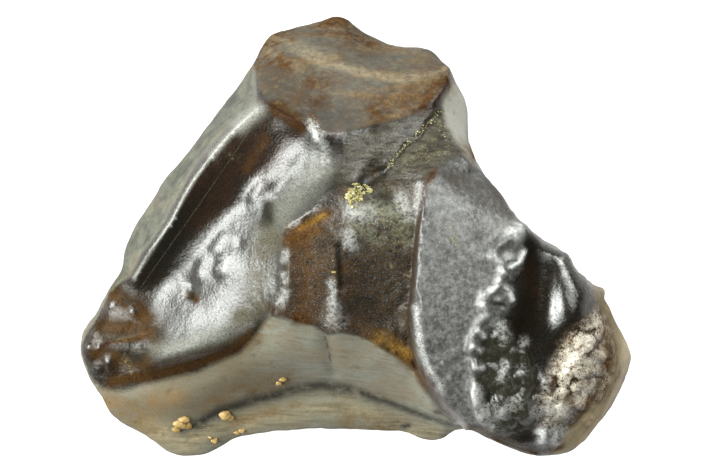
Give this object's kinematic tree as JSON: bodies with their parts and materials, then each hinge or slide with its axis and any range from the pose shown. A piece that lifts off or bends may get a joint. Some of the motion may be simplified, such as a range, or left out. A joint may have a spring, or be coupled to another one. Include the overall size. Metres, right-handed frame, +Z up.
{
  "type": "fossil triceratops tooth",
  "caption": "Worn three-lobed fossil dinosaur tooth, dark brown enamel over a rough core, lying flat on its worn underside.",
  "frame": {"origin": "centre of the bounding box in plan, on the worn face that the tooth rests on", "axes": "+X along the longest extent, from the pointed left lobe to the thick right lobe; +Z up, the shortest extent; +Y towards the lobe with the smooth wear facet"},
  "size_m": [0.022, 0.0176, 0.011],
  "materials": {
    "fossil_enamel": "dark brown mineralised enamel, satin to glossy, with grey wear faces and yellow mineral crust in its crack"
  },
  "bodies": {
    "root": {"tooth": "fossil_enamel"}
  },
  "joints": []
}
